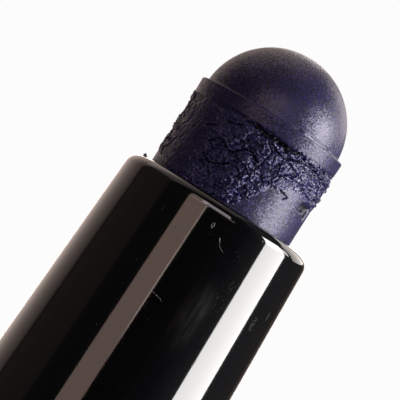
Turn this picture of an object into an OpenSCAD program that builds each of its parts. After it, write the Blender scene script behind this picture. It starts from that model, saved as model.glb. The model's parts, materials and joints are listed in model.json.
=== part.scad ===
// Twist-up stick: a domed stick of cream colour, fed by a screw out of a tapered glossy tube.
// Millimetres. +Z runs along the axis towards the domed tip. The origin is the centre of the foot,
// the flat ring that the knob stands on.

/* [Colour stick] */
// Diameter of the stick
stick_d = 7.2; // [6.8:0.1:7.4]
// How far the dome is set in from the stick's side all round
ledge_step = 0.2; // [0.1:0.05:0.4]
// Whole length of the stick, its root in the cup included
stick_len = 33.5; // [30:0.5:34]
// How far the stick stands out of the mouth as the model is drawn
stick_out = 7.7; // [0:0.1:20]

/* [Front tube] */
// Height of the mouth above the foot
mouth_z = 88; // [88:1:100]
// Wall of the front tube at its mouth
mouth_wall = 0.85; // [0.7:0.05:0.9]
// Slope of each side of the neck, in degrees
neck_taper = 2.55; // [1:0.05:2.75]
// Length of the neck, from the mouth to the shoulder
neck_len = 16; // [14:1:16]
// Length of the straight seat at the foot of the neck, where a cap slides on
seat_len = 3; // [2:0.5:4]

/* [Body and knob] */
// Outer diameter of the body and the knob
body_d = 12.6; // [12.6:0.1:14]
// Height of the line between the knob and the body
split_z = 30; // [28:1:31]
// Height of each metal ring
ring_h = 0.8; // [0.6:0.1:1.2]

/* [Feed screw] */
// Advance of the stick for one turn of the knob
thread_lead = 3; // [2.5:0.5:4]
// Distance across the two flats that stop the screw turning
screw_flats = 2.6; // [2.4:0.1:3]

/* [Hidden] */
$fn = 96;

gloss_black = [0.02, 0.02, 0.022];
satin_metal = [0.78, 0.77, 0.75];
violet_cream = [0.11, 0.09, 0.22];
natural_pom = [0.9, 0.89, 0.86];
grey_pom = [0.55, 0.56, 0.58];
seal_rubber = [0.12, 0.12, 0.13];
brass = [0.78, 0.6, 0.3];
white_film = [0.93, 0.92, 0.9];

// Gap around each piece that moves, and around each seal in its bore
run_gap = 0.14;
seal_gap = 0.1;

// The stick and its cup
bore_d = stick_d + 0.4;
dome_d = stick_d - 2 * ledge_step;
root_len = 4.5;
root_d = stick_d - 0.9;
cup_d = bore_d - 2 * run_gap;
cup_floor = 1.4;
boss_d = 6.2;
boss_len = 2.6;
cup_len = root_len + cup_floor + boss_len;
stick_show = stick_len - root_len;
tip_z = mouth_z + stick_out;
ledge_z = tip_z - dome_d / 2;
cup_top_z = tip_z - stick_show;
cup_bottom_z = cup_top_z - cup_len;
cup_seal_wire = 0.7;
cup_seal_r = bore_d / 2 - seal_gap - cup_seal_wire / 2;
cup_seal_z = cup_bottom_z + boss_len + 0.8;

// Travel: the tip goes 1.8 mm below the mouth, and the cup stops 0.5 mm below it
feed_down = stick_out + 1.8;
feed_up = stick_show - 0.5 - stick_out;

// The fixed stack under the cup at its lowest, from the top down
key_top_z = cup_bottom_z - feed_down - 0.5;
key_plug_h = 3;
key_flange_h = 1;
tube_end_z = key_top_z - key_plug_h;
key_bottom_z = tube_end_z - key_flange_h;
washer_h = 0.6;
drive_top_z = key_bottom_z - washer_h - run_gap;
drive_flange_h = 1.6;
drive_flange_d = 10.1;
washer_d = 10.1;
bush_top_z = drive_top_z - drive_flange_h - run_gap;
nut_len = 6;
nut_z = drive_top_z - 0.4 - nut_len;

// The front tube
mouth_d = bore_d + 2 * mouth_wall;
lip_out_r = 0.55;
lip_in_r = 0.25;
shoulder_z = mouth_z - neck_len;
seat_top_z = shoulder_z + seat_len;
neck_foot_d = mouth_d + 2 * tan(neck_taper) * (neck_len - seat_len);
seat_d = neck_foot_d + 0.1;
shell_bore_d = seat_d + 0.5;
tube_land = 4;
tube_wall = 0.85;

// The knob and its drive tube
drive_d = 9.2;
drive_bore_d = 6.6;
nut_d = 6.9;
foot_wall = 1.6;
foot_round = 0.5;
disc_d = 9.6;
disc_h = 0.8;
disc_inset = 0.25;
label_d = 7.6;
label_h = 0.1;
drive_bottom_z = foot_wall + 2;
plug_h = 1.4;
rib_count = 8;
rib_w = 1.2;
body_gap = 0.4;
knob_top_z = split_z - body_gap / 2 - ring_h;
rib_top_z = knob_top_z - 1.5;
bush_bore_d = drive_d + 2 * run_gap;
o_ring_wire = 0.8;
o_ring_r = bush_bore_d / 2 - seal_gap - o_ring_wire / 2;
groove_w = 1.1;
lower_o_ring_z = split_z + 3;
upper_o_ring_z = bush_top_z - 3;

// The screw thread: a rounded left-handed wave that the screw and the nut share
screw_mid_r = 1.8;
wave_r = 0.35;
thread_gap = 0.2;
rings_per_turn = 6;
arc_points = 8;
screw_end_z = nut_z - 0.8 - feed_up;
head_d = 4.4;
head_h = 1.2;
head_z = cup_bottom_z + 1;
screw_neck_r = screw_flats / 2 - 0.15;
clip_d = 5;
clip_h = 0.5;
clip_z = head_z - clip_h;

// Points on an arc about [x, y] from angle a to angle b
function arc(x, y, r, a, b, n = 8) =
    [for (i = [0:n]) [x + r * cos(a + (b - a) * i / n), y + r * sin(a + (b - a) * i / n)]];

// Radius of the thread at a turn angle and a height
function thread_r(angle, z) = screw_mid_r + wave_r * cos(angle + 360 * z / thread_lead);

// Ring of points of a round section
function round_ring(r, z) = [for (i = [0:2 * arc_points - 1])
    let (angle = (i + 0.5) * 180 / arc_points) [r * cos(angle), r * sin(angle), z]];

// Ring of points of the nut's thread, wider than the screw's by the gap
function nut_ring(z) = [for (i = [0:2 * arc_points - 1])
    let (angle = i * 180 / arc_points, r = thread_r(angle, z) + thread_gap)
    [r * cos(angle), r * sin(angle), z]];

// Ring of points of the screw: two threaded arcs with a flat on each side of them
function screw_ring(z) = [for (side = [1, -1], i = [0:arc_points - 1])
    let (x = side * screw_flats / 2 * cos(180 * i / (arc_points - 1)),
         r = thread_r(atan2(side * screw_mid_r, x), z))
    [x, side * sqrt(r * r - x * x), z]];

// Heights of the rings of a thread between two heights
function ring_heights(z0, z1) =
    let (n = ceil((z1 - z0) / thread_lead * rings_per_turn)) [for (k = [0:n]) z0 + (z1 - z0) * k / n];

// Closed solid through a stack of rings
module stack(rings) {
    n = len(rings[0]);
    top = (len(rings) - 1) * n;
    sides = [for (k = [0:len(rings) - 2], i = [0:n - 1], half = [0, 1])
        let (j = (i + 1) % n, low = k * n, high = low + n)
        half == 0 ? [low + i, high + i, low + j] : [low + j, high + i, high + j]];
    ends = [[for (i = [0:n - 1]) i], [for (i = [n - 1:-1:0]) top + i]];
    polyhedron([for (ring = rings) each ring], concat(sides, ends));
}

module tube(d, bore, z0, z1) {
    rotate_extrude() translate([bore / 2, z0]) square([(d - bore) / 2, z1 - z0]);
}

module o_ring(r, wire, z) {
    translate([0, 0, z]) rotate_extrude() translate([r, 0]) circle(d = wire, $fn = 32);
}

// Rounded mouth, tapered neck, cap seat and long sleeve in one moulding
module front_tube() {
    bore_r = bore_d / 2;
    mouth_r = mouth_d / 2;
    sleeve_r = shell_bore_d / 2;
    waist_r = bore_r + tube_wall;
    color(gloss_black) rotate_extrude() polygon(concat(
        [[bore_r, tube_end_z], [sleeve_r, tube_end_z], [sleeve_r, tube_end_z + tube_land],
         [waist_r, tube_end_z + tube_land + 1], [waist_r, shoulder_z - tube_land - 1],
         [sleeve_r, shoulder_z - tube_land], [sleeve_r, shoulder_z - 0.15],
         [seat_d / 2, shoulder_z - 0.15], [seat_d / 2, seat_top_z - 0.1],
         [neck_foot_d / 2, seat_top_z]],
        arc(mouth_r - lip_out_r, mouth_z - lip_out_r, lip_out_r, 0, 90),
        arc(bore_r + lip_in_r, mouth_z - lip_in_r, lip_in_r, 90, 180, 4)));
}

module body_shell() {
    color(gloss_black) tube(body_d, shell_bore_d, split_z + body_gap / 2, shoulder_z - ring_h);
}

// Metal ring where a cap's edge would rest
module shoulder_ring() {
    r = body_d / 2;
    c = 0.2;
    color(satin_metal) rotate_extrude() polygon([
        [shell_bore_d / 2, shoulder_z - ring_h], [r, shoulder_z - ring_h], [r, shoulder_z - c],
        [r - c, shoulder_z], [shell_bore_d / 2, shoulder_z]]);
}

// Plug in the end of the front tube, with a flat-sided hole that keeps the screw from turning
module key_bush() {
    hole_r = screw_mid_r + wave_r + run_gap;
    hole_w = screw_flats + 2 * run_gap;
    color(grey_pom) difference() {
        union() {
            translate([0, 0, key_bottom_z]) cylinder(d = shell_bore_d - 0.1, h = key_flange_h);
            translate([0, 0, key_bottom_z]) cylinder(d = bore_d, h = key_flange_h + key_plug_h);
        }
        intersection() {
            translate([0, 0, key_bottom_z - 1]) cylinder(r = hole_r, h = key_flange_h + key_plug_h + 2);
            translate([-hole_w / 2, -hole_r - 1, key_bottom_z - 1])
                cube([hole_w, 2 * hole_r + 2, key_flange_h + key_plug_h + 2]);
        }
    }
}

module thrust_washer() {
    color(natural_pom) tube(washer_d, 6, key_bottom_z - washer_h, key_bottom_z);
}

module bearing_bush() {
    color(natural_pom) tube(shell_bore_d, bush_bore_d, split_z + body_gap / 2, bush_top_z);
}

// Cup-shaped twist knob, with a rounded foot and a recess for the shade disc
module knob_shell() {
    r = body_d / 2;
    bore_r = shell_bore_d / 2;
    color(gloss_black) rotate_extrude() polygon(concat(
        [[0, foot_wall], [0, disc_h + disc_inset], [disc_d / 2, disc_h + disc_inset], [disc_d / 2, 0]],
        arc(r - foot_round, foot_round, foot_round, -90, 0),
        [[r, knob_top_z], [bore_r, knob_top_z], [bore_r, foot_wall]]));
}

module knob_ring() {
    color(satin_metal) tube(body_d, shell_bore_d, knob_top_z, knob_top_z + ring_h);
}

module end_disc() {
    color(violet_cream) translate([0, 0, disc_inset]) cylinder(d = disc_d, h = disc_h);
}

module shade_label() {
    color(white_film) translate([0, 0, disc_inset - label_h]) cylinder(d = label_d, h = label_h);
}

// Turning sleeve: carries the nut, runs in the bush, and is pressed into the knob by its ribs
module drive_tube() {
    color(natural_pom) difference() {
        union() {
            translate([0, 0, drive_bottom_z]) cylinder(d = drive_d, h = drive_top_z - drive_bottom_z);
            translate([0, 0, drive_top_z - drive_flange_h])
                cylinder(d = drive_flange_d, h = drive_flange_h);
            intersection() {
                for (i = [0:rib_count - 1]) rotate(360 * i / rib_count)
                    translate([drive_d / 2 - 0.4, -rib_w / 2, drive_bottom_z])
                        cube([2, rib_w, rib_top_z - drive_bottom_z]);
                translate([0, 0, drive_bottom_z]) cylinder(d = shell_bore_d, h = rib_top_z - drive_bottom_z);
            }
        }
        translate([0, 0, drive_bottom_z - 1]) cylinder(d = drive_bore_d, h = drive_top_z - drive_bottom_z + 2);
        translate([0, 0, nut_z]) cylinder(d = nut_d, h = nut_len + 1);
        for (z = [lower_o_ring_z, upper_o_ring_z])
            tube(drive_d + 2, 2 * o_ring_r - o_ring_wire, z - groove_w / 2, z + groove_w / 2);
    }
}

module drive_plug() {
    color(grey_pom) translate([0, 0, drive_bottom_z]) cylinder(d = drive_bore_d, h = plug_h);
}

module feed_nut() {
    color(brass) difference() {
        translate([0, 0, nut_z]) cylinder(d = nut_d, h = nut_len);
        stack([for (z = ring_heights(nut_z - 0.5, nut_z + nut_len + 0.5)) nut_ring(z)]);
    }
}

module upper_o_ring() {
    color(seal_rubber) o_ring(o_ring_r, o_ring_wire, upper_o_ring_z);
}

module lower_o_ring() {
    color(seal_rubber) o_ring(o_ring_r, o_ring_wire, lower_o_ring_z);
}

// Dome, ledge and shaft, with a thinner root that sits in the cup
module colour_stick() {
    color(violet_cream) union() {
        translate([0, 0, ledge_z]) sphere(d = dome_d);
        translate([0, 0, cup_top_z]) cylinder(d = stick_d, h = ledge_z - cup_top_z);
        translate([0, 0, cup_top_z - root_len]) cylinder(d = root_d, h = root_len + 1);
    }
}

// Cup that holds the root of the stick, with a socket below for the head of the screw
module stick_cup() {
    wall_r = cup_d / 2;
    base = cup_bottom_z;
    skirt_z = base + boss_len - 0.4;
    groove_r = cup_seal_r - cup_seal_wire / 2;
    groove_half = 0.5;
    color(grey_pom) rotate_extrude() polygon([
        [head_d / 2, base], [boss_d / 2, base], [boss_d / 2, skirt_z], [wall_r, skirt_z],
        [wall_r, cup_seal_z - groove_half], [groove_r, cup_seal_z - groove_half],
        [groove_r, cup_seal_z + groove_half], [wall_r, cup_seal_z + groove_half],
        [wall_r, cup_top_z], [root_d / 2, cup_top_z], [root_d / 2, cup_top_z - root_len],
        [0, cup_top_z - root_len], [0, head_z + head_h], [head_d / 2, head_z + head_h],
        [head_d / 2, head_z], [clip_d / 2, head_z], [clip_d / 2, clip_z], [head_d / 2, clip_z]]);
}

module cup_seal() {
    color(seal_rubber) o_ring(cup_seal_r, cup_seal_wire, cup_seal_z);
}

// Screw with two flats, a left-handed rounded thread and a round head on a thin neck
module feed_screw() {
    color(natural_pom) stack(concat(
        [for (z = ring_heights(screw_end_z, cup_bottom_z)) screw_ring(z)],
        [round_ring(screw_neck_r, cup_bottom_z), round_ring(screw_neck_r, head_z),
         round_ring(head_d / 2, head_z), round_ring(head_d / 2, head_z + head_h)]));
}

// Open washer that slides onto the screw's neck and snaps into the cup under the head
module screw_clip() {
    color(satin_metal) difference() {
        translate([0, 0, clip_z]) cylinder(d = clip_d, h = clip_h);
        translate([0, 0, clip_z - 1]) cylinder(r = screw_neck_r + 0.03, h = clip_h + 2);
        translate([0, -0.9, clip_z - 1]) cube([clip_d, 1.8, clip_h + 2]);
    }
}

front_tube();
body_shell();
shoulder_ring();
key_bush();
thrust_washer();
bearing_bush();
knob_shell();
knob_ring();
end_disc();
shade_label();
drive_tube();
drive_plug();
feed_nut();
upper_o_ring();
lower_o_ring();
colour_stick();
stick_cup();
cup_seal();
feed_screw();
screw_clip();
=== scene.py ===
import json
import math
import random

import bpy
import bmesh
import numpy as np
from mathutils import Matrix, Quaternion, Vector


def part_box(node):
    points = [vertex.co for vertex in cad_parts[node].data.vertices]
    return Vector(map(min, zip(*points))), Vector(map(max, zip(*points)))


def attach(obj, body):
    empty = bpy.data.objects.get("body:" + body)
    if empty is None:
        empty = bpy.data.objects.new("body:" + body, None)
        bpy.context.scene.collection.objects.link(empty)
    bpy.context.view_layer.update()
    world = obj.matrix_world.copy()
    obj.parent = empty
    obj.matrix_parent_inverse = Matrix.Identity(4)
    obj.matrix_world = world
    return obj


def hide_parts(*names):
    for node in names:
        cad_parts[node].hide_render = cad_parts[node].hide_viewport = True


mm = 0.001  # the scene is in metres, and the sizes below are in millimetres where their names or notes say so
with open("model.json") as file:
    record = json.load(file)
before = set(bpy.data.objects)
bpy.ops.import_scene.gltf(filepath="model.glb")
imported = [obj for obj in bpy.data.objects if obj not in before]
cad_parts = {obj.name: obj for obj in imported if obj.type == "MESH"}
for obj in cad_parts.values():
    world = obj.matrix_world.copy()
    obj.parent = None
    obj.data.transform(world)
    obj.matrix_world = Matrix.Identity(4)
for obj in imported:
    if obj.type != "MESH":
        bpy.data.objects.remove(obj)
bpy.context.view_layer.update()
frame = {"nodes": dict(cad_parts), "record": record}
nodes = frame["nodes"]
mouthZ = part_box("front_tube")[1].z / mm
scene = bpy.context.scene
scene.view_settings.view_transform = "Standard"
print("frame loaded,", len(nodes), "nodes")

# the camera looks at the mouth of the tube from a little below it, turned so that the stick leans
shot = {
    "fieldMm": 17.75,      # width of the view at the stick
    "distanceMm": 280,
    "elevationDeg": -3.0,
    "leanDeg": 32.45,      # the stick leans this far to the right
    "aimRightMm": -0.935,  # where the view is centred, from the middle of the mouth
    "aimUpMm": -0.25,
    "sensorMm": 36,
    "nearM": 0.01,
    "farM": 20,
}


def placeCamera():
    elev = math.radians(shot["elevationDeg"])
    lean = math.radians(shot["leanDeg"])
    toCamera = Vector((0, -math.cos(elev), math.sin(elev)))
    right = Vector((1, 0, 0))
    up = right.cross(-toCamera).normalized()
    camRight = right * math.cos(lean) + up * math.sin(lean)
    camUp = up * math.cos(lean) - right * math.sin(lean)
    aim = Vector((shot["aimRightMm"], 0, mouthZ + shot["aimUpMm"])) * mm
    data = bpy.data.cameras.new("camera")
    data.sensor_width = shot["sensorMm"]
    data.lens = shot["sensorMm"] * shot["distanceMm"] / shot["fieldMm"]
    data.clip_start = shot["nearM"]
    data.clip_end = shot["farM"]
    cam = bpy.data.objects.new("camera", data)
    scene.collection.objects.link(cam)
    turn = Matrix((camRight, camUp, toCamera)).transposed()
    cam.matrix_world = Matrix.Translation(aim + toCamera * shot["distanceMm"] * mm) @ turn.to_4x4()
    scene.camera = cam


placeCamera()


def linear(hexColour):  # sRGB hex to linear
    out = []
    for i in (0, 2, 4):
        c = int(hexColour[i:i + 2], 16) / 255
        out.append(c / 12.92 if c <= 0.04045 else ((c + 0.055) / 1.055) ** 2.4)
    return (*out, 1.0)


def addNode(tree, kind, settings=None, links=None):  # one node with its settings and its links
    node = tree.nodes.new(kind)
    for key, value in (settings or {}).items():
        if isinstance(key, int) or key in node.inputs:
            node.inputs[key].default_value = value
        else:
            setattr(node, key, value)
    for key, source in (links or {}).items():
        tree.links.new(source, node.inputs[key])
    return node


def newMaterial(name):
    mat = bpy.data.materials.new(name)
    mat.use_nodes = True
    mat.node_tree.nodes.clear()
    return mat, mat.node_tree


def setRamp(node, stops):
    ramp = node.color_ramp
    ramp.interpolation = "LINEAR"
    while len(ramp.elements) > 1:
        ramp.elements.remove(ramp.elements[-1])
    ramp.elements[0].position = stops[0][0]
    ramp.elements[0].color = stops[0][1]
    for place, colour in stops[1:]:
        ramp.elements.new(place).color = colour


# light from the room by compass angle, 0 towards the camera and + to its right: brightness, and colour
warm, plain = (1, 0.80, 0.71), (1, 0.97, 0.98)
roomLight = [
    (-180, 1.0, warm), (-150, 0.95, warm), (-116, 0.40, warm), (-112, 0.07, warm), (-107, 0.13, warm),
    (-68, 0.14, warm), (-64, 0.05, plain), (-36, 0.05, plain), (-10, 0.02, plain), (22, 0.02, warm),
    (22.8, 0.09, warm), (23.6, 0.03, warm), (40, 0.04, plain), (64, 0.16, plain),
    (97, 0.22, plain), (106, 0.12, plain), (148, 0.05, warm), (164, 0.14, warm), (180, 0.95, warm),
]
roomWhite = "fdfcfc"  # what the camera sees behind the stick

# upright lamps round the stick, in metres: compass angle, distance, width, and heights of both ends
lamps = {
    # the bright band down the right of the tube
    "keyStrip": {"azimuthDeg": 83, "distance": 0.50, "width": 0.30, "low": -0.2, "high": 0.50,
                 "colour": "fffdfb", "radiance": 18},
    # the shine on the dome
    "keyTop": {"azimuthDeg": 92, "distance": 0.50, "width": 0.36, "low": 0.27, "high": 0.44,
               "colour": "fffdfb", "radiance": 8},
    # glints on the torn skin
    "glintStrip": {"azimuthDeg": 78, "distance": 0.48, "width": 0.15, "low": 0.19, "high": 0.42,
                   "colour": "fffdfb", "radiance": 26},
    # the right edge of the dome
    "backRight": {"azimuthDeg": 142, "distance": 0.60, "width": 0.50, "low": 0.235, "high": 0.70,
                  "colour": "fff6f0", "radiance": 2.8},
    # the edges of the tube, and a band on its back
    "rimStrip": {"azimuthDeg": 180, "distance": 0.60, "width": 0.11, "low": -0.2, "high": 0.50,
                 "colour": "fffaf6", "radiance": 3.0},
    # the warm band down the front of the tube, and its hook on the rim
    "warmStrip": {"azimuthDeg": -25.5, "distance": 0.60, "width": 0.235, "low": -0.2, "high": 0.55,
                  "colour": "ffdacb", "radiance": 2.25},
    "warmHead": {"azimuthDeg": -6, "distance": 0.62, "width": 0.66, "low": 0.205, "high": 0.26,
                 "colour": "ffdacb", "radiance": 1.7},
    # the soft spot low on the front of the dome
    "softHead": {"azimuthDeg": -2, "distance": 0.62, "width": 0.42, "low": 0.26, "high": 0.54,
                 "colour": "f1eaf8", "radiance": 4.6},
    # a thin bright line beside the warm band
    "warmLine": {"azimuthDeg": -13.4, "distance": 0.60, "width": 0.012, "low": 0.150, "high": 0.205,
                 "colour": "ffe6d8", "radiance": 5.0, "rollDeg": -28},
}

# a lamp overhead, in metres: height, extent across and extent from front to back
overhead = {"height": 0.55, "x": (-0.60, 0.12), "y": (-0.20, 0.50), "colour": "fff2ea", "radiance": 0.5}
nearlyDown = Vector((0, 0.0001, -1))  # a touch off straight down, which settles which way the lamp is turned


def makeRoom():
    world = bpy.data.worlds.new("studio")
    world.use_nodes = True
    tree = world.node_tree
    tree.nodes.clear()
    coord = addNode(tree, "ShaderNodeTexCoord")
    split = addNode(tree, "ShaderNodeSeparateXYZ", links={0: coord.outputs["Generated"]})
    front = addNode(tree, "ShaderNodeMath", {"operation": "MULTIPLY", 1: -1.0}, {0: split.outputs["Y"]})
    angle = addNode(tree, "ShaderNodeMath", {"operation": "ARCTAN2"},
                    {0: split.outputs["X"], 1: front.outputs[0]})
    place = addNode(tree, "ShaderNodeMapRange", {"From Min": -math.pi, "From Max": math.pi},
                    {"Value": angle.outputs[0]})
    ramp = addNode(tree, "ShaderNodeValToRGB", links={0: place.outputs[0]})
    setRamp(ramp, [((deg + 180) / 360, (*(v * c for c in tint), 1)) for deg, v, tint in roomLight])
    glow = addNode(tree, "ShaderNodeBackground", {"Strength": 1.0}, {"Color": ramp.outputs[0]})
    white = addNode(tree, "ShaderNodeBackground", {"Color": linear(roomWhite), "Strength": 1.0})
    path = addNode(tree, "ShaderNodeLightPath")
    mix = addNode(tree, "ShaderNodeMixShader",
                  links={0: path.outputs["Is Camera Ray"], 1: glow.outputs[0], 2: white.outputs[0]})
    addNode(tree, "ShaderNodeOutputWorld", links={"Surface": mix.outputs[0]})
    scene.world = world


def addLamp(name, look, size, centre, facing):
    data = bpy.data.lights.new(name, "AREA")
    data.shape = "RECTANGLE"
    data.size, data.size_y = size
    data.color = linear(look["colour"])[:3]
    data.energy = look["radiance"] * math.pi * size[0] * size[1]
    lamp = bpy.data.objects.new(name, data)
    lamp.location = centre
    lamp.rotation_mode = "QUATERNION"
    roll = Quaternion((0, 0, 1), math.radians(look.get("rollDeg", 0)))
    lamp.rotation_quaternion = facing.to_track_quat("-Z", "Y") @ roll
    lamp.visible_camera = False
    scene.collection.objects.link(lamp)


def makeLamps():
    for name, k in lamps.items():
        a = math.radians(k["azimuthDeg"])
        out = Vector((math.sin(a), -math.cos(a), 0))
        centre = out * k["distance"] + Vector((0, 0, (k["low"] + k["high"]) / 2))
        addLamp(name, k, (k["width"], k["high"] - k["low"]), centre, -out)
    (left, right), (near, far) = overhead["x"], overhead["y"]
    centre = Vector(((left + right) / 2, (near + far) / 2, overhead["height"]))
    addLamp("overhead", overhead, (right - left, far - near), centre, nearlyDown)


floorLook = {"radius": 0.9, "fadeFrom": 0.25, "sides": 96, "colour": "c9c7c5"}


def makeFloor():  # pale card that fades out, seen only from above and only by the camera
    mesh = bpy.data.meshes.new("floor")
    bm = bmesh.new()
    bmesh.ops.create_circle(bm, cap_ends=True, segments=floorLook["sides"], radius=floorLook["radius"])
    bm.to_mesh(mesh)
    bm.free()
    floor = bpy.data.objects.new("floor", mesh)
    scene.collection.objects.link(floor)
    mat, tree = newMaterial("matt pale card")
    coord = addNode(tree, "ShaderNodeTexCoord")
    length = addNode(tree, "ShaderNodeVectorMath", {"operation": "LENGTH"}, {0: coord.outputs["Object"]})
    fade = addNode(tree, "ShaderNodeMapRange",
                   {"From Min": floorLook["fadeFrom"], "From Max": floorLook["radius"],
                    "interpolation_type": "SMOOTHSTEP"}, {"Value": length.outputs["Value"]})
    card = addNode(tree, "ShaderNodeBsdfDiffuse", {"Color": linear(floorLook["colour"])})
    clear = addNode(tree, "ShaderNodeBsdfTransparent")
    under = addNode(tree, "ShaderNodeNewGeometry").outputs["Backfacing"]
    hide = addNode(tree, "ShaderNodeMath", {"operation": "MAXIMUM"}, {0: fade.outputs[0], 1: under})
    seen = addNode(tree, "ShaderNodeLightPath").outputs["Is Camera Ray"]
    unseen = addNode(tree, "ShaderNodeMath", {"operation": "SUBTRACT", 0: 1.0}, {1: seen})
    hide = addNode(tree, "ShaderNodeMath", {"operation": "MAXIMUM"},
                   {0: hide.outputs[0], 1: unseen.outputs[0]})
    mix = addNode(tree, "ShaderNodeMixShader",
                  links={0: hide.outputs[0], 1: card.outputs[0], 2: clear.outputs[0]})
    addNode(tree, "ShaderNodeOutputMaterial", links={"Surface": mix.outputs[0]})
    mesh.materials.append(mat)


makeRoom()
makeLamps()
makeFloor()
print("stage ready")

gloss = {
    "colour": "020203", "dustColour": "1c1b1a", "ior": 1.5,
    "polish": 0.055, "scuffed": 0.5,               # roughness where it is clean and where it is worn
    "peelMm": 1.1, "peelDeepMm": 0.02,             # slow waves left by the mould
    "dustMm": 0.3, "dustDeepMm": 0.004,            # dust: one spot in some of the cells of this size
    "dustShare": 0.28, "dustHaze": 0.6, "dustSpot": (0.03, 0.09),
    "rubWideMm": 0.05, "rubLongMm": 0.9, "rubHaze": 0.16, "rubSeen": (0.62, 0.8),
    "smudgeAtMm": (1.5, -4.6, 83.1), "smudgeMm": (0.8, 2.0, 2.6), "smudgeHaze": 0.9, "smudgeFade": (0.2, 1.0),
    "streakWideMm": 0.25, "streakLongMm": 1.6,
}


def glossyBlack():
    # ABS, moulded in a polished tool: deep black under a clear sharp gloss; rub marks and dust scatter
    # the light, so they look dark in a bright reflection and pale beside one
    k = gloss
    mat, tree = newMaterial("polished black ABS")
    obj = addNode(tree, "ShaderNodeTexCoord").outputs["Object"]
    peel = addNode(tree, "ShaderNodeTexNoise", {"Scale": 1 / (k["peelMm"] * mm), "Detail": 1.0},
                   {"Vector": obj})
    cells = addNode(tree, "ShaderNodeTexVoronoi", {"Scale": 1 / (k["dustMm"] * mm)}, {"Vector": obj})
    spot = addNode(tree, "ShaderNodeMapRange",
                   {"From Min": k["dustSpot"][0], "From Max": k["dustSpot"][1],
                    "To Min": k["dustHaze"], "To Max": 0.0},
                   {"Value": cells.outputs["Distance"]})
    pick = addNode(tree, "ShaderNodeSeparateColor", links={0: cells.outputs["Color"]})
    pick = addNode(tree, "ShaderNodeMath", {"operation": "GREATER_THAN", 1: 1 - k["dustShare"]},
                   {0: pick.outputs[0]})
    spot = addNode(tree, "ShaderNodeMath", {"operation": "MULTIPLY"},
                   {0: spot.outputs[0], 1: pick.outputs[0]})
    # fine rub marks run along the tube
    wide, long = 1 / (k["rubWideMm"] * mm), 1 / (k["rubLongMm"] * mm)
    rub = addNode(tree, "ShaderNodeMapping", {"Scale": (wide, wide, long)}, {"Vector": obj})
    rub = addNode(tree, "ShaderNodeTexNoise", {"Scale": 1.0, "Detail": 2.0}, {"Vector": rub.outputs[0]})
    rub = addNode(tree, "ShaderNodeMapRange",
                  {"From Min": k["rubSeen"][0], "From Max": k["rubSeen"][1],
                   "To Min": 0.0, "To Max": k["rubHaze"]},
                  {"Value": rub.outputs["Fac"]})
    marks = addNode(tree, "ShaderNodeMath", {"operation": "MAXIMUM"}, {0: rub.outputs[0], 1: spot.outputs[0]})
    # a wiped finger smudge on the front of the neck, in streaks along the tube
    near = addNode(tree, "ShaderNodeVectorMath",
                   {"operation": "SUBTRACT", 1: tuple(v * mm for v in k["smudgeAtMm"])}, {0: obj})
    near = addNode(tree, "ShaderNodeVectorMath",
                   {"operation": "MULTIPLY", 1: tuple(1 / (v * mm) for v in k["smudgeMm"])},
                   {0: near.outputs[0]})
    near = addNode(tree, "ShaderNodeVectorMath", {"operation": "LENGTH"}, {0: near.outputs[0]})
    near = addNode(tree, "ShaderNodeMapRange",
                   {"From Min": k["smudgeFade"][0], "From Max": k["smudgeFade"][1],
                    "To Min": 1.0, "To Max": 0.0},
                   {"Value": near.outputs["Value"]})
    wide, long = 1 / (k["streakWideMm"] * mm), 1 / (k["streakLongMm"] * mm)
    streak = addNode(tree, "ShaderNodeMapping", {"Scale": (wide, wide, long)}, {"Vector": obj})
    streak = addNode(tree, "ShaderNodeTexNoise", {"Scale": 1.0, "Detail": 3.0}, {"Vector": streak.outputs[0]})
    smudge = addNode(tree, "ShaderNodeMath", {"operation": "MULTIPLY"},
                     {0: near.outputs[0], 1: streak.outputs["Fac"]})
    haze = addNode(tree, "ShaderNodeMath", {"operation": "MULTIPLY_ADD", 1: k["smudgeHaze"]},
                   {0: smudge.outputs[0], 2: marks.outputs[0]})
    rough = addNode(tree, "ShaderNodeMapRange", {"To Min": k["polish"], "To Max": k["scuffed"]},
                    {"Value": haze.outputs[0]})
    skin = addNode(tree, "ShaderNodeMix",
                   {"data_type": "RGBA", 6: linear(k["colour"]), 7: linear(k["dustColour"])},
                   {0: spot.outputs[0]})
    bump = addNode(tree, "ShaderNodeBump", {"Strength": 0.02, "Distance": k["peelDeepMm"] * mm},
                   {"Height": peel.outputs["Fac"]})
    bump = addNode(tree, "ShaderNodeBump", {"Strength": 0.6, "Distance": k["dustDeepMm"] * mm},
                   {"Height": spot.outputs[0], "Normal": bump.outputs[0]})
    shader = addNode(tree, "ShaderNodeBsdfPrincipled", {"IOR": k["ior"]},
                     {"Base Color": skin.outputs[2], "Roughness": rough.outputs[0],
                      "Normal": bump.outputs[0]})
    addNode(tree, "ShaderNodeOutputMaterial", links={"Surface": shader.outputs[0]})
    return mat


def evenFinish(name, colour, metallic, roughness, grainMm, deepMm):  # one colour with a fine even grain
    mat, tree = newMaterial(name)
    coord = addNode(tree, "ShaderNodeTexCoord")
    noise = addNode(tree, "ShaderNodeTexNoise", {"Scale": 1 / (grainMm * mm), "Detail": 3.0},
                    {"Vector": coord.outputs["Object"]})
    rough = addNode(tree, "ShaderNodeMapRange", {"To Min": roughness * 0.8, "To Max": roughness * 1.2},
                    {"Value": noise.outputs["Fac"]})
    bump = addNode(tree, "ShaderNodeBump", {"Strength": 0.3, "Distance": deepMm * mm},
                   {"Height": noise.outputs["Fac"]})
    shader = addNode(tree, "ShaderNodeBsdfPrincipled", {"Base Color": linear(colour), "Metallic": metallic},
                     {"Roughness": rough.outputs[0], "Normal": bump.outputs[0]})
    addNode(tree, "ShaderNodeOutputMaterial", links={"Surface": shader.outputs[0]})
    return mat


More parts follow.
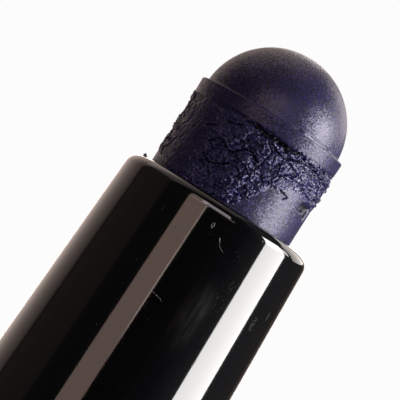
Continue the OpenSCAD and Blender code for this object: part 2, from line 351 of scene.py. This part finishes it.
pearl = {
    "colours": ("0a0913", "0f0d1f", "19173e"),     # from flake to flake
    # the crack colour is a painted shade, laid near black in the hollows of the torn skin
    "tornSheenColour": "13163a", "crackShadeColour": "040407", "sheen": "ede8ff", "ior": 1.34,
    "smoothRough": 0.38, "tornRough": 0.1, "crackRough": 0.15,
    "flakeMm": 0.05, "flakeTilt": (0.23, 0.1),     # tilt on smooth skin and on torn skin
    "tornSheenShare": 0.6,                               # how far torn skin is painted bluer, a painted sheen in place of its blue-violet reflections
    "facetMm": 0.09, "facetTilt": 0.72, "crumpleMm": 0.15, "crumpleDeepMm": 0.075,
}


def castPearlCream():
    # wax and oil cream full of fine mica, cast in a polished mould: nearly black violet under a satin
    # lavender sheen with a fine grain; where the skin is torn it is wetter and glints
    k = pearl
    mat, tree = newMaterial("cast pearl cream")
    obj = addNode(tree, "ShaderNodeTexCoord").outputs["Object"]
    torn = addNode(tree, "ShaderNodeAttribute", {"attribute_name": "torn"}).outputs["Fac"]
    crack = addNode(tree, "ShaderNodeAttribute", {"attribute_name": "crack"}).outputs["Fac"]
    # mica flakes are a few hundredths of a millimetre across, and these are coarse ones, so that they show
    flakes = addNode(tree, "ShaderNodeTexVoronoi", {"Scale": 1 / (k["flakeMm"] * mm)}, {"Vector": obj})
    tilt = addNode(tree, "ShaderNodeVectorMath", {"operation": "SUBTRACT", 1: (0.5, 0.5, 0.5)},
                   {0: flakes.outputs["Color"]})
    strength = addNode(tree, "ShaderNodeMapRange", {"To Min": k["flakeTilt"][0], "To Max": k["flakeTilt"][1]},
                       {"Value": torn})
    tilt = addNode(tree, "ShaderNodeVectorMath", {"operation": "SCALE"},
                   {0: tilt.outputs[0], "Scale": strength.outputs[0]})
    # torn wax breaks in small flat facets, and each glints on its own
    facets = addNode(tree, "ShaderNodeTexVoronoi", {"Scale": 1 / (k["facetMm"] * mm)}, {"Vector": obj})
    lean = addNode(tree, "ShaderNodeVectorMath", {"operation": "SUBTRACT", 1: (0.5, 0.5, 0.5)},
                   {0: facets.outputs["Color"]})
    turn = addNode(tree, "ShaderNodeMath", {"operation": "MULTIPLY", 1: k["facetTilt"]}, {0: torn})
    lean = addNode(tree, "ShaderNodeVectorMath", {"operation": "SCALE"},
                   {0: lean.outputs[0], "Scale": turn.outputs[0]})
    tilt = addNode(tree, "ShaderNodeVectorMath", {"operation": "ADD"},
                   {0: tilt.outputs[0], 1: lean.outputs[0]})
    face = addNode(tree, "ShaderNodeNewGeometry").outputs["Normal"]
    face = addNode(tree, "ShaderNodeVectorMath", {"operation": "ADD"}, {0: face, 1: tilt.outputs[0]})
    face = addNode(tree, "ShaderNodeVectorMath", {"operation": "NORMALIZE"}, {0: face.outputs[0]})
    crumple = addNode(tree, "ShaderNodeTexNoise",
                      {"Scale": 1 / (k["crumpleMm"] * mm), "Detail": 1.0, "Distortion": 1.5}, {"Vector": obj})
    depth = addNode(tree, "ShaderNodeMapRange", {"To Min": 0.0, "To Max": k["crumpleDeepMm"] * mm},
                    {"Value": torn})
    bump = addNode(tree, "ShaderNodeBump", {"Strength": 1.0},
                   {"Height": crumple.outputs["Fac"], "Distance": depth.outputs[0],
                    "Normal": face.outputs[0]})
    glint = addNode(tree, "ShaderNodeSeparateColor", links={0: flakes.outputs["Color"]})
    tint = addNode(tree, "ShaderNodeValToRGB", links={0: glint.outputs[2]})
    setRamp(tint, [(place, linear(colour)) for place, colour in zip((0.0, 0.5, 1.0), k["colours"])])
    # torn skin is painted bluer and a little lighter: a painted sheen, standing in for the blue-violet
    # reflections of the wet wax
    share = addNode(tree, "ShaderNodeMath", {"operation": "MULTIPLY", 1: k["tornSheenShare"]}, {0: torn})
    tint = addNode(tree, "ShaderNodeMix", {"data_type": "RGBA", 7: linear(k["tornSheenColour"])},
                   {0: share.outputs[0], 6: tint.outputs[0]})
    # the cracks and hollows are painted near black, a painted shade where the skin sinks, and made rougher,
    # as dry
    tint = addNode(tree, "ShaderNodeMix", {"data_type": "RGBA", 7: linear(k["crackShadeColour"])},
                   {0: crack, 6: tint.outputs[2]})
    rough = addNode(tree, "ShaderNodeMapRange", {"To Min": k["smoothRough"], "To Max": k["tornRough"]},
                    {"Value": torn})
    rough = addNode(tree, "ShaderNodeMath", {"operation": "MULTIPLY_ADD", 1: k["crackRough"]},
                    {0: crack, 2: rough.outputs[0]})
    shader = addNode(tree, "ShaderNodeBsdfPrincipled",
                     {"Metallic": 0.0, "IOR": k["ior"], "Specular Tint": linear(k["sheen"])},
                     {"Base Color": tint.outputs[2], "Roughness": rough.outputs[0],
                      "Normal": bump.outputs[0]})
    addNode(tree, "ShaderNodeOutputMaterial", links={"Surface": shader.outputs[0]})
    return mat


materials = {
    "gloss_black": glossyBlack(),
    # turned and etched aluminium: pale metal with a broad soft shine
    "satin_metal": evenFinish("satin aluminium", "c8c6c2", 1.0, 0.3, 0.2, 0.003),
    "violet_cream": castPearlCream(),
    # moulded acetal, undyed and dyed grey: a waxy, half-matt look
    "natural_pom": evenFinish("natural acetal", "e8e6e0", 0.0, 0.4, 0.3, 0.003),
    "grey_pom": evenFinish("grey acetal", "8d9094", 0.0, 0.4, 0.3, 0.003),
    # moulded rubber: dull black with hardly a shine
    "seal_rubber": evenFinish("nitrile rubber", "1c1c1e", 0.0, 0.6, 0.1, 0.004),
    # brass off the lathe: warm yellow metal, fairly bright
    "brass": evenFinish("turned brass", "c79a4b", 1.0, 0.28, 0.1, 0.003),
    # blank label film: flat off-white
    "white_film": evenFinish("matt film", "efece6", 0.0, 0.55, 0.05, 0.002),
    # loose fibres and dust: dull grey
    "lint": evenFinish("cotton lint", "5a5957", 0.0, 0.9, 0.05, 0.002),
}

slotOf = {s["node"]: s["material_slot"] for s in frame["record"]["subparts"]}
for name, node in nodes.items():
    node.data.materials.clear()
    node.data.materials.append(materials[slotOf[name]])
print("materials ready")


def meshThrough(name, points, quads, mergeM, marks=None):  # smooth mesh with its doubled points merged
    mesh = bpy.data.meshes.new(name)
    mesh.from_pydata(points.tolist(), [], quads.tolist())
    for key, values in (marks or {}).items():
        mark = mesh.attributes.new(key, "FLOAT", "POINT")
        mark.data.foreach_set("value", values.ravel().astype(np.float32))
    bm = bmesh.new()
    bm.from_mesh(mesh)
    bmesh.ops.remove_doubles(bm, verts=bm.verts, dist=mergeM)
    bmesh.ops.recalc_face_normals(bm, faces=bm.faces)
    bm.to_mesh(mesh)
    bm.free()
    mesh.shade_smooth()
    return mesh


def addPiece(name, mesh, body, material):
    mesh.materials.append(material)
    piece = bpy.data.objects.new(name, mesh)
    scene.collection.objects.link(piece)
    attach(piece, body)
    return piece


def standIn(name, mesh, body, node, slot):  # a finer piece in place of a CAD node
    piece = addPiece(name, mesh, body, materials[slot])
    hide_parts(node)


# the outer shells, in mm, turned about the axis
shells = {
    "boreR": 3.8, "mouthR": 4.65, "outerLip": 0.55, "innerLip": 0.25,
    "slopeDeg": 2.55, "neckLength": 16,
    "seatR": 5.279, "seatLength": 3, "seatEase": 0.1, "seatSink": 0.15,  # where the cap slides on
    "waistR": 4.65, "land": 4, "landTaper": 1,     # inside the body the tube touches it only at two lands
    "bodyEdge": 0.12, "shoulderEdge": 0.15, "knobRingEdge": 0.1,
    "knobEdge": 0.1, "footRound": 0.5, "footWall": 1.6,
    "sides": 256, "sharpDeg": 35,
}
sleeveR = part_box("front_tube")[1].x / mm


def arc(x, z, r, a, b, n=12):  # points on an arc, angles in degrees
    return [(x + r * math.cos(math.radians(a + (b - a) * i / n)),
             z + r * math.sin(math.radians(a + (b - a) * i / n))) for i in range(n + 1)]


def heldEdges(points, gap=0.05):  # extra points beside each corner keep the shading flat between corners
    out = []
    for p, q in zip(points, points[1:] + points[:1]):
        length = math.dist(p, q)
        out.append(p)
        if length > 4 * gap:
            for t in (gap / length, 1 - gap / length):
                out.append((p[0] + (q[0] - p[0]) * t, p[1] + (q[1] - p[1]) * t))
    return out


def turned(name, outline, body, node, slot):  # closed outline turned about the axis
    points = np.array(heldEdges(outline)) * mm
    n, sides = len(points), shells["sides"]
    angles = np.arange(sides) * 2 * math.pi / sides
    r, z = points[:, 0], points[:, 1]
    co = np.stack([np.outer(np.cos(angles), r), np.outer(np.sin(angles), r),
                   np.broadcast_to(z, (sides, n))], axis=2).reshape(-1, 3)
    j, i = np.meshgrid(np.arange(sides), np.arange(n), indexing="ij")
    j2, i2 = (j + 1) % sides, (i + 1) % n
    quads = np.stack([j * n + i, j2 * n + i, j2 * n + i2, j * n + i2], axis=2).reshape(-1, 4)
    mesh = meshThrough(name, co, quads, 1e-7)
    mesh.set_sharp_from_angle(angle=math.radians(shells["sharpDeg"]))
    standIn(name, mesh, body, node, slot)


def neckTube():
    k = shells
    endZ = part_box("front_tube")[0].z / mm
    shoulderZ = mouthZ - k["neckLength"]
    seatTop = shoulderZ + k["seatLength"]
    neckR = k["mouthR"] + math.tan(math.radians(k["slopeDeg"])) * (k["neckLength"] - k["seatLength"])
    outline = [(k["boreR"], endZ), (sleeveR, endZ), (sleeveR, endZ + k["land"]),
               (k["waistR"], endZ + k["land"] + k["landTaper"]),
               (k["waistR"], shoulderZ - k["land"] - k["landTaper"]),
               (sleeveR, shoulderZ - k["land"]), (sleeveR, shoulderZ - k["seatSink"]),
               (k["seatR"], shoulderZ - k["seatSink"]), (k["seatR"], seatTop - k["seatEase"]),
               (neckR, seatTop)]
    outline += arc(k["mouthR"] - k["outerLip"], mouthZ - k["outerLip"], k["outerLip"], k["slopeDeg"], 90, 16)
    outline += arc(k["boreR"] + k["innerLip"], mouthZ - k["innerLip"], k["innerLip"], 90, 180, 8)
    turned("neckTube", outline, "barrel", "front_tube", "gloss_black")


def plainRing(name, node, body, slot, edge):  # a ring on the sleeve with eased outer edges
    low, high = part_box(node)
    r, z0, z1 = high.x / mm, low.z / mm, high.z / mm
    outline = [(sleeveR, z0)] + arc(r - edge, z0 + edge, edge, -90, 0, 4)
    outline += arc(r - edge, z1 - edge, edge, 0, 90, 4) + [(sleeveR, z1)]
    turned(name, outline, body, node, slot)


def knobTube():
    low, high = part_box("knob_shell")
    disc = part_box("end_disc")[1]
    r, z0, z1 = high.x / mm, low.z / mm, high.z / mm
    recessR, recessZ = disc.x / mm, disc.z / mm
    foot, edge, wall = shells["footRound"], shells["knobEdge"], shells["footWall"]
    outline = [(0.0, recessZ), (recessR, recessZ), (recessR, z0)]
    outline += arc(r - foot, z0 + foot, foot, -90, 0, 12)
    outline += arc(r - edge, z1 - edge, edge, 0, 90, 4)
    outline += [(sleeveR, z1), (sleeveR, wall), (0.0, wall)]
    turned("knobTube", outline, "knob", "knob_shell", "gloss_black")


neckTube()
knobTube()
plainRing("bodyTube", "body_shell", "barrel", "gloss_black", shells["bodyEdge"])
plainRing("shoulderRing", "shoulder_ring", "barrel", "satin_metal", shells["shoulderEdge"])
plainRing("knobRing", "knob_ring", "knob", "satin_metal", shells["knobRingEdge"])
print("shells turned")

# the cream stick, in mm: dome, ledge, collar, torn skin, smooth shaft
cream = {
    "domeR": 3.39, "ledgeAboveCentre": 0.13, "collarR": 3.65, "collarEdge": 0.06, "collarHeight": 0.66,
    "collarTaper": 0.03, "shaftR": 3.59, "rootR": 3.15, "rootLength": 4.5,
    "leanMm": -0.10,        # the stick stands this far to one side in the bore
    "mostR": 3.77,          # and its skin stays inside this radius of the bore's axis
    "columns": 480, "frontColumns": 380, "frontDeg": 112,  # columns stand closer together on the front
    "ringStep": 0.041, "buried": 0.9,                      # fine rows start this far below the rim
    "shaftRings": 12, "domeRings": 46,
    "leanFrom": 6,          # it starts to stand aside this far above its root
    "hairline": 0.07,       # crack at the foot of the dome
}

# how the torn skin changes round the stick: compass angle, then the value there
tornEnd = [(-180, 3.3), (-130, 3.0), (-95, 3.7), (-60, 4.09), (-28, 4.67), (7, 4.39), (12, 3.84), (18, 3.38),
           (23, 2.8), (28, 2.6), (38, 2.45), (55, 2.4), (64, 2.5), (82, 2.6), (110, 2.9), (150, 3.5),
           (180, 3.3)]  # depth below the ledge where it ends, in mm
ruggedness = [(-180, 0.7), (-110, 0.8), (-90, 1.0), (-72, 0.6), (-60, 0.15), (-40, 0.1), (-28, 0.55),
              (-10, 0.8), (20, 1.0), (80, 1.0), (120, 0.8), (180, 0.7)]  # calm on the left of the front
thickness = [(-180, 0.02), (-85, 0.01), (-60, 0.03), (-30, 0.06), (45, 0.07), (60, 0.05), (80, 0.0),
             (180, 0.02)]  # mm
trenchDepth = [(-180, 0.06), (-90, 0.03), (-50, 0.03), (-30, 0.1), (-10, 0.22), (5, 0.28), (30, 0.26),
               (50, 0.13), (100, 0.08), (180, 0.06)]  # mm, of the trench under the collar
wetness = [(-180, 0.5), (-125, 0.4), (-100, 0.08), (-60, 0.06), (-40, 0.1), (-28, 0.9), (10, 1.0),
           (25, 0.8), (58, 0.7), (74, 0.25), (100, 0.3), (180, 0.5)]  # 0 dry to 1 wet

# how high or deep each kind of roughness is, in mm; a crack's width is a share of its plate's
relief = {
    "plateLift": 0.04, "plateSlope": 0.09, "plateCrack": 0.12, "plateCrackWide": 0.07,
    "chipLift": 0.03, "chipSlope": 0.045, "chipCrack": 0.05,
    "grain": 0.04, "grainLessOnRight": 0.035, "folds": 0.03, "pits": 0.012,
    "wrinkles": 0.11, "gaps": 0.17, "leftSwell": 0.1,
    "tearDeep": 0.22, "tearLip": 0.035, "notchDeep": 0.2,
}

# the longer tears: half width in mm, then angle and depth below the ledge along each
tears = [
    (0.048, [(-32, 2.49), (-29, 2.29), (-26, 2.11), (-22, 2.08), (-19, 2.26), (-15, 2.38), (-12, 2.35)]),
    (0.044, [(-12, 2.35), (-10, 2.19), (-7, 1.99), (-3.5, 1.86), (0, 1.92), (4, 2.07), (7, 2.12)]),
    (0.040, [(-12, 2.35), (-8, 2.43), (-4, 2.54), (0, 2.57), (4, 2.74), (7, 2.8)]),
    (0.048, [(-31, 2.98), (-27, 3.15), (-23, 3.25), (-19, 3.18), (-16, 3.1), (-15, 3.38)]),
    (0.040, [(-16, 3.1), (-14, 3.04), (-10, 2.82), (-5, 2.8), (-1, 2.92), (1, 3.21)]),
    (0.036, [(-22, 2.13), (-25, 2.67), (-28, 2.97)]),
    (0.044, [(7, 3.29), (10, 3.41), (11, 3.62), (15, 3.73)]),
    (0.034, [(21, 1.68), (23, 2.13), (21, 2.47), (24, 2.67)]),
    (0.050, [(8, 1.09), (14, 1.28), (21, 1.36), (26, 1.23), (32, 1.08), (44, 1.04), (50.6, 1.06), (55, 1.15),
             (60, 1.19), (68, 1.1), (84, 0.93)]),
    (0.030, [(35.5, 1.17), (39.5, 1.24), (44, 1.3), (47.2, 1.33), (52.4, 1.3)]),
    (0.040, [(-42, 1.94), (-37, 1.74), (-32, 1.63)]),
    (0.048, [(-29, 1.27), (-22, 1.24), (-17, 1.1)]),
    (0.036, [(-20, 3.58), (-17, 3.78), (-18, 4.08)]),
    (0.028, [(24, 2.62), (27, 2.6), (31, 2.58), (35.5, 2.62), (39.5, 2.68), (41, 2.71), (39, 2.8),
             (37.5, 2.88)]),
    (0.048, [(-82, 1.33), (-74, 1.55), (-70, 1.51)]),
    (0.048, [(-85, 2.42), (-76, 2.35), (-71, 2.66), (-66, 2.58)]),
    (0.056, [(-88, 3.21), (-78, 3.34), (-72, 3.16)]),
]
tearSlim = 0.7      # the tears are drawn this much slimmer than listed, with uneven sides
tearUneven = 0.375


def byAngle(deg, profile):
    return np.interp(deg, [a for a, value in profile], [value for a, value in profile])


def smoothstep(x, low, high):
    t = np.clip((x - low) / (high - low), 0, 1)
    return t * t * (3 - 2 * t)


def band(x, a, b, c, d):  # rises from 0 to 1 between a and b, and falls again between c and d
    return smoothstep(x, a, b) * (1 - smoothstep(x, c, d))


def ridge(x):
    return 1 - 2 * np.abs(x)


def wander(u, v, columns, seed):  # soft random waves from -1 to 1, which close up round the stick
    table = np.random.default_rng(seed).uniform(-1, 1, (columns, 97))
    iu, iv = np.floor(u).astype(int), np.floor(v).astype(int)
    fu, fv = u - iu, v - iv
    fu, fv = fu * fu * (3 - 2 * fu), fv * fv * (3 - 2 * fv)
    low = table[iu % columns, iv % 97] * (1 - fu) + table[(iu + 1) % columns, iv % 97] * fu
    high = table[iu % columns, (iv + 1) % 97] * (1 - fu) + table[(iu + 1) % columns, (iv + 1) % 97] * fu
    return low * (1 - fv) + high * fv


# random plates: distance to the nearest crack, and the slope and lift of each plate
def plates(u, v, columns, seed):
    rng = np.random.default_rng(seed)
    spot = rng.uniform(0.08, 0.92, (columns, 97, 2))
    own = rng.uniform(-1, 1, (columns, 97, 3))
    iu, iv = np.floor(u).astype(int), np.floor(v).astype(int)

    def offset(du, dv):
        s = spot[(iu + du) % columns, (iv + dv) % 97]
        return iu + du + s[..., 0] - u, iv + dv + s[..., 1] - v

    far = 9.0
    near = np.full(u.shape, far)
    nx, ny = np.zeros(u.shape), np.zeros(u.shape)
    mine = np.zeros(u.shape + (3,))
    for du in (-1, 0, 1):
        for dv in (-1, 0, 1):
            x, y = offset(du, dv)
            closer = x * x + y * y < near
            near = np.where(closer, x * x + y * y, near)
            nx, ny = np.where(closer, x, nx), np.where(closer, y, ny)
            mine[closer] = own[(iu + du) % columns, (iv + dv) % 97][closer]
    crack = np.full(u.shape, far)
    for du in (-2, -1, 0, 1, 2):
        for dv in (-2, -1, 0, 1, 2):
            x, y = offset(du, dv)
            gap = np.hypot(x - nx, y - ny)
            halfway = ((x + nx) * (x - nx) + (y + ny) * (y - ny)) / 2 / np.maximum(gap, 1e-6)
            crack = np.minimum(crack, np.where(gap > 1e-6, halfway, far))
    return crack, -nx * mine[..., 0] - ny * mine[..., 1], mine[..., 2]


def awayFromTear(deg, depth, half, points):  # distance from a tear, in its half widths
    x = np.radians(deg) * cream["shaftR"]
    path = [(math.radians(a) * cream["shaftR"], d) for a, d in points]
    best = np.full(deg.shape, 9.0)
    for (x0, d0), (x1, d1) in zip(path, path[1:]):
        t = ((x - x0) * (x1 - x0) + (depth - d0) * (d1 - d0)) / ((x1 - x0) ** 2 + (d1 - d0) ** 2)
        t = np.clip(t, 0, 1)
        best = np.minimum(best, np.hypot(x - x0 - t * (x1 - x0), depth - d0 - t * (d1 - d0)))
    return best / half


def tornSkin(deg, depth):  # how far the skin stands off the shaft, how wet the torn part is, and how deep it sinks, which the cream paints dark as shade
    around = (deg + 180) / 360
    k = relief

    def waves(columns, perMm, seed, bendU=0, bendV=0):
        return wander(around * columns + bendU, depth * perMm + bendV, columns, seed)

    ends = byAngle(deg, tornEnd) + 0.14 * waves(34, 1.5, 3) + 0.08 * waves(90, 4, 4)
    starts = cream["collarHeight"] + 0.05 + 0.06 * waves(50, 0, 5)
    torn = band(depth, starts, starts + 0.04, ends - 0.05, ends + 0.05)
    rough = byAngle(deg, ruggedness)
    left = 1 - smoothstep(deg, -100, -55)
    middle = band(deg, -40, -25, 95, 120)
    right = band(deg, 12, 28, 95, 120)
    calm = rough * (1 - 0.75 * right - 0.4 * left)

    # plates of skin, and small chips within them, each tipped its own way, with cracks between
    bendU = 0.45 * waves(30, 1.5, 6) + 0.2 * waves(70, 3, 12)
    bendV = 0.45 * waves(30, 1.5, 7) + 0.2 * waves(70, 3, 13)
    crack, slope, lift = plates(around * 30 + bendU + 0.6 * depth, depth * 1.7 + bendV, 30, 8)
    skin = byAngle(deg, thickness) + k["leftSwell"] * left * (1 - smoothstep(depth, 0.8, 1.3))
    skin = skin + calm * (k["plateLift"] * lift + k["plateSlope"] * slope)
    crackWide = np.maximum(k["plateCrackWide"] * (1 + waves(50, 3, 14)), 0.01)
    skin -= k["plateCrack"] * calm * (1 - smoothstep(crack, 0.0, crackWide))
    crack, slope, lift = plates(around * 76 + bendU * 2 + 0.8 * depth, depth * 4.2 + bendV * 2, 76, 9)
    skin += calm * (k["chipSlope"] * slope + k["chipLift"] * lift)
    skin -= calm * k["chipCrack"] * (1 - smoothstep(crack, 0.0, 0.16))
    grain = waves(130, 6.0, 10) + 0.8 * waves(250, 11, 11)
    skin += rough * (k["grain"] - k["grainLessOnRight"] * right) * grain
    skin += k["folds"] * middle * ridge(waves(40, 5.2, 16, 0.7 * bendU, 1.5 * bendV))

    # on the right of the front the skin lies in wrinkles, which run round the stick and down to the right
    wrinkles = ridge(waves(36, 6.0, 16, 0.6 * bendU, 1.2 * bendV - (deg - 25) / 24))
    gaps = 1 - smoothstep(np.abs(waves(44, 3.6, 21, bendU, bendV)), 0.0, 0.1)
    skin += right * (k["wrinkles"] * wrinkles - k["gaps"] * gaps)
    # and it thins out softly towards its lower end
    skin *= 1 - right * smoothstep(depth, ends - 0.55, ends - 0.05)
    skin -= k["pits"] * middle * smoothstep(grain, 0.2, 0.9)

    # the longer tears, each a sharp groove with a raised lip
    uneven = tearUneven * waves(110, 5, 17)
    for half, points in tears:
        away = awayFromTear(deg, depth, tearSlim * half, points) + uneven
        skin += k["tearLip"] * np.exp(-((away - 1.9) / 0.7) ** 2) - k["tearDeep"] * np.clip(1.25 - away, 0, 1)
        torn = np.maximum(torn, 1 - smoothstep(away, 1.5, 2.2))

    # dark ragged trench right under the collar, deepest in the middle of the front
    halfWide = 0.13 + 0.07 * waves(60, 0, 15) + 0.03 * waves(150, 0, 18)
    skin -= byAngle(deg, trenchDepth) * np.clip(1.15 - np.abs(depth - starts - halfWide) / halfWide, 0, 1)

    # a notch out of the shaft at the far right, with a steep bright edge below
    notchSides = band(deg, 56, 60, 76, 80)
    foot = 3.05 - 0.16 * np.exp(-((deg - 67) / 2.5) ** 2) + 0.012 * (deg - 67)
    notch = notchSides * band(depth, 2.35, 2.6, foot - 0.2, foot)
    skin = skin * (1 - notch) - k["notchDeep"] * notch
    torn = np.maximum(torn, notch)
    wet = byAngle(deg, wetness) * (1 - 0.7 * notchSides * smoothstep(depth, 2.5, 2.7))
    return torn * skin, torn * wet, torn * smoothstep(-skin, 0.02, 0.12)


def creamStick():
    k = cream
    low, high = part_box("colour_stick")
    bottom, top = low.z / mm, high.z / mm
    centre = top - k["domeR"]
    ledge = centre + k["ledgeAboveCentre"]
    rootTop = bottom + k["rootLength"]
    edge = k["collarEdge"]
    fineFrom = mouthZ - k["buried"]
    # radius and height of each ring, from the root up
    rings = [(0.0, bottom), (k["rootR"], bottom), (k["rootR"], rootTop - 0.02), (k["shaftR"], rootTop)]
    rings += [(k["shaftR"], z) for z in np.linspace(rootTop + 0.05, fineFrom - 0.1, k["shaftRings"])]
    steps = int((ledge - fineFrom) / k["ringStep"])
    a, b = len(rings), len(rings) + steps
    rings += [(k["shaftR"], z) for z in np.linspace(fineFrom, ledge - 1.5 * edge, steps)]
    rings += arc(k["collarR"] - edge, ledge - edge, edge, 0, 90, 4)
    domeFoot = math.degrees(math.asin(k["ledgeAboveCentre"] / k["domeR"]))
    rings += [(k["domeR"] + 0.02, ledge)]
    rings += arc(0, centre, k["domeR"], domeFoot + 0.4, 89.6, k["domeRings"]) + [(0.0, top)]
    n = k["columns"]
    back = (n - k["frontColumns"]) / n / 2
    deg = np.interp(np.arange(n) / n, [0, back, 1 - back, 1], [-180, -k["frontDeg"], k["frontDeg"], 180])
    deg = deg[None, :]
    r, z = (np.array(v)[:, None] * np.ones((1, n)) for v in zip(*rings))
    depth = ledge - z
    skin, torn, crack = tornSkin(deg + 0 * depth[a:b], depth[a:b])
    collar = 1 - smoothstep(depth[a:b], k["collarHeight"], k["collarHeight"] + edge)
    r[a:b] += skin + collar * (k["collarR"] - k["shaftR"] - k["collarTaper"] * depth[a:b])
    r[a:b] = np.minimum(r[a:b], k["mostR"] + k["leanMm"] * -np.sin(np.radians(deg)))  # clear of the bore
    # the crack mark is how deep the torn skin sinks; the cream paints it dark as painted shade
    marks = {"torn": np.zeros(r.shape), "crack": np.zeros(r.shape)}
    marks["torn"][a:b], marks["crack"][a:b] = torn, crack
    # a hairline crack at the foot of the dome, right of the front
    around = (deg + 180) / 360
    hairline = band(deg, 14, 22, 55, 62) * smoothstep(wander(around * 40, 0 * deg, 40, 19), -0.6, 0)
    r -= k["hairline"] * hairline * ((z > ledge + 0.005) & (z < ledge + 0.075))
    lean = k["leanMm"] * smoothstep(z, bottom + k["leanFrom"], mouthZ)
    angle = np.radians(deg)
    co = np.stack([r * np.sin(angle) + lean, -r * np.cos(angle), z], axis=2).reshape(-1, 3) * mm
    j, i = np.meshgrid(np.arange(len(rings) - 1), np.arange(n), indexing="ij")
    i2 = (i + 1) % n
    quads = np.stack([j * n + i, j * n + i2, (j + 1) * n + i2, (j + 1) * n + i], axis=2).reshape(-1, 4)
    mesh = meshThrough("creamStick", co, quads, 1e-6, marks)
    standIn("creamStick", mesh, "feed", "colour_stick", "violet_cream")
    print("cream stick made,", len(mesh.polygons), "faces")


creamStick()

# fibres lying on the neck: width in mm, then compass angle and depth below the mouth along each
fibres = [
    (0.022, [(1.1, 1.02), (1.9, 1.0), (2.3, 1.1), (2.1, 1.22), (1.5, 1.26), (1.0, 1.18), (1.1, 1.02)]),
    (0.026, [(8.4, 1.42), (8.9, 1.52), (9.7, 1.62)]),
    (0.013, [(9.7, 1.64), (10.6, 1.74), (12.2, 1.83), (14.2, 1.88)]),
    (0.015, [(-13.6, 1.24), (-13.4, 1.44), (-13.7, 1.66)]),
    (0.017, [(-16.0, 2.08), (-14.0, 2.02), (-12.0, 1.98), (-10.0, 1.96), (-8.5, 2.02), (-6.5, 1.98)]),
    (0.014, [(-9.8, 4.98), (-7.0, 4.98), (-4.0, 5.02), (-1.0, 5.08), (0.5, 5.16)]),
    (0.014, [(-13.5, 7.06), (-11.0, 7), (-8.6, 7.04)]),
    (0.014, [(65.0, 2.8), (65.4, 3.05), (65.1, 3.3)]),
    (0.014, [(-27.0, 1.44), (-26.5, 1.69)]),
]

# dust: how many, then the compass angles and the depths below the mouth between which it lies
dust = [(10, 20, 25, 1.4, 1.9), (80, 24, 31.5, 2.6, 4.4), (90, 53.5, 56.5, 3.4, 4.1), (30, 22, 36, 0.7, 12),
        (25, -16, -7, 1, 8), (60, -180, 180, 0.7, 12)]
dustMm = (0.004, 0.013)


def neckPoint(deg, below, lift=0.0):
    a = math.radians(deg)
    r = shells["mouthR"] + math.tan(math.radians(shells["slopeDeg"])) * below + lift
    return Vector((r * math.sin(a), -r * math.cos(a), mouthZ - below)) * mm


def loosePiece(name, bm, material):  # something that lies on the barrel
    mesh = bpy.data.meshes.new(name)
    bm.to_mesh(mesh)
    bm.free()
    addPiece(name, mesh, "barrel", material)


def makeLint():
    rng = random.Random(21)
    bm = bmesh.new()
    for width, points in fibres:
        rings = []
        last = len(points) - 1
        for i, (deg, below) in enumerate(points):
            ahead = neckPoint(*points[min(i + 1, last)]) - neckPoint(*points[max(i - 1, 0)])
            up = Vector((math.sin(math.radians(deg)), -math.cos(math.radians(deg)), 0))
            slim = 0.4 if i in (0, last) else 1
            side = ahead.cross(up).normalized() * width / 2 * mm * slim
            centre = neckPoint(deg, below)
            rings.append([bm.verts.new(v) for v in (centre - side, centre + up * width * 0.45 * mm,
                                                    centre + side, centre - up * width * 0.2 * mm)])
        for low, high in zip(rings, rings[1:]):
            for j in range(4):
                bm.faces.new((low[j], low[(j + 1) % 4], high[(j + 1) % 4], high[j]))
        bm.faces.new(rings[0][::-1])
        bm.faces.new(rings[-1])
    for count, left, right, upper, lower in dust:
        for n in range(count):
            size = rng.uniform(*dustMm) * mm
            spot = neckPoint(rng.uniform(left, right), rng.uniform(upper, lower), size / mm * 0.2)
            turn = Matrix.Rotation(rng.uniform(0, 6), 4, "X") @ Matrix.Rotation(rng.uniform(0, 6), 4, "Y")
            shape = Matrix.Diagonal((size, size * rng.uniform(0.5, 1), size * rng.uniform(0.4, 1), 1))
            place = Matrix.Translation(spot) @ turn @ shape
            bmesh.ops.create_icosphere(bm, subdivisions=1, radius=1, matrix=place)
    loosePiece("lint", bm, materials["lint"])


# a dry crumb of cream on the rim: compass angle, height above the rim and radius of each lump, in mm
crumb = {
    "fromAxis": 4.07, "uneven": (0.6, 1.3),
    "lumps": [(-84, 0.04, 0.10), (-87, 0.13, 0.06), (-80, 0.03, 0.07), (-77, 0.02, 0.04), (-88, 0.19, 0.03)],
}


def makeCrumb():
    rng = random.Random(5)
    bm = bmesh.new()
    for deg, rise, radius in crumb["lumps"]:
        a = math.radians(deg)
        spot = Vector((crumb["fromAxis"] * math.sin(a), -crumb["fromAxis"] * math.cos(a), mouthZ + rise)) * mm
        place = Matrix.Translation(spot)
        for v in bmesh.ops.create_icosphere(bm, subdivisions=2, radius=radius * mm, matrix=place)["verts"]:
            v.co = spot + (v.co - spot) * rng.uniform(*crumb["uneven"])
    loosePiece("crumb", bm, materials["violet_cream"])


makeLint()
makeCrumb()
print("lint and crumb made")
